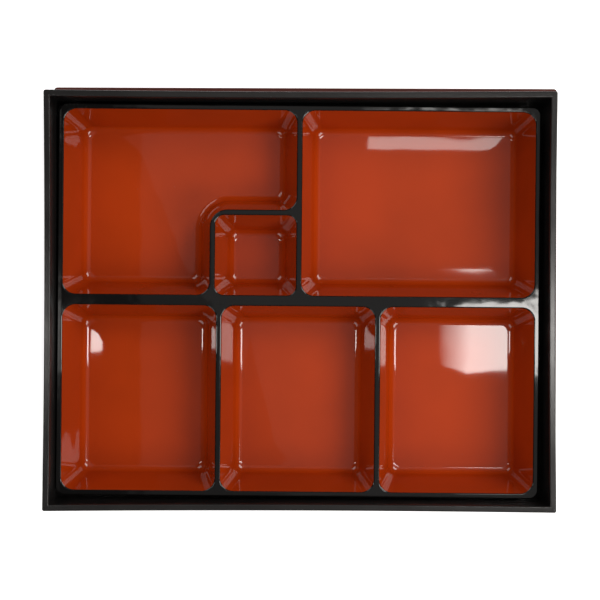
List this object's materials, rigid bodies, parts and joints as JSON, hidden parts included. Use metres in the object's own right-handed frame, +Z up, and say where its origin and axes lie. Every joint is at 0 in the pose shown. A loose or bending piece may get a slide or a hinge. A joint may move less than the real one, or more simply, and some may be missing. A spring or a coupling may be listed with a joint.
{
  "type": "stacking lacquer box",
  "caption": "Open rectangular lacquered lunch box tier with a lift-out compartment tray, standing on its covering lid; black outside, vermilion compartments.",
  "frame": {"origin": "middle of the lid's footprint, on the table", "axes": "+X to the right along the longer side, +Y to the back, +Z up"},
  "size_m": [0.286, 0.237, 0.076],
  "materials": {
    "lid_lacquer": "dark red-brown lacquer on wood, semi-gloss",
    "box_lacquer": "black lacquer on wood, satin",
    "tray_lacquer": "moulded, gloss black on the rims and underneath, vermilion lacquer in the compartments"
  },
  "bodies": {
    "lid": {"lid_panel": "lid_lacquer", "lid_front_rail": "lid_lacquer", "lid_right_rail": "lid_lacquer", "lid_back_rail": "lid_lacquer", "lid_left_rail": "lid_lacquer"},
    "box": {"box_floor": "box_lacquer", "box_front_wall": "box_lacquer", "box_right_wall": "box_lacquer", "box_back_wall": "box_lacquer", "box_left_wall": "box_lacquer", "foot_front_strip": "box_lacquer", "foot_right_strip": "box_lacquer", "foot_back_strip": "box_lacquer", "foot_left_strip": "box_lacquer"},
    "tray": {"partition_tray": "tray_lacquer"}
  },
  "joints": [
    {"name": "box_lift", "type": "slide", "parent": "lid", "child": "box", "axis": [0, 0, 1], "range_m": [0, 0.12]},
    {"name": "tray_lift", "type": "slide", "parent": "box", "child": "tray", "axis": [0, 0, 1], "range_m": [0, 0.07]}
  ]
}
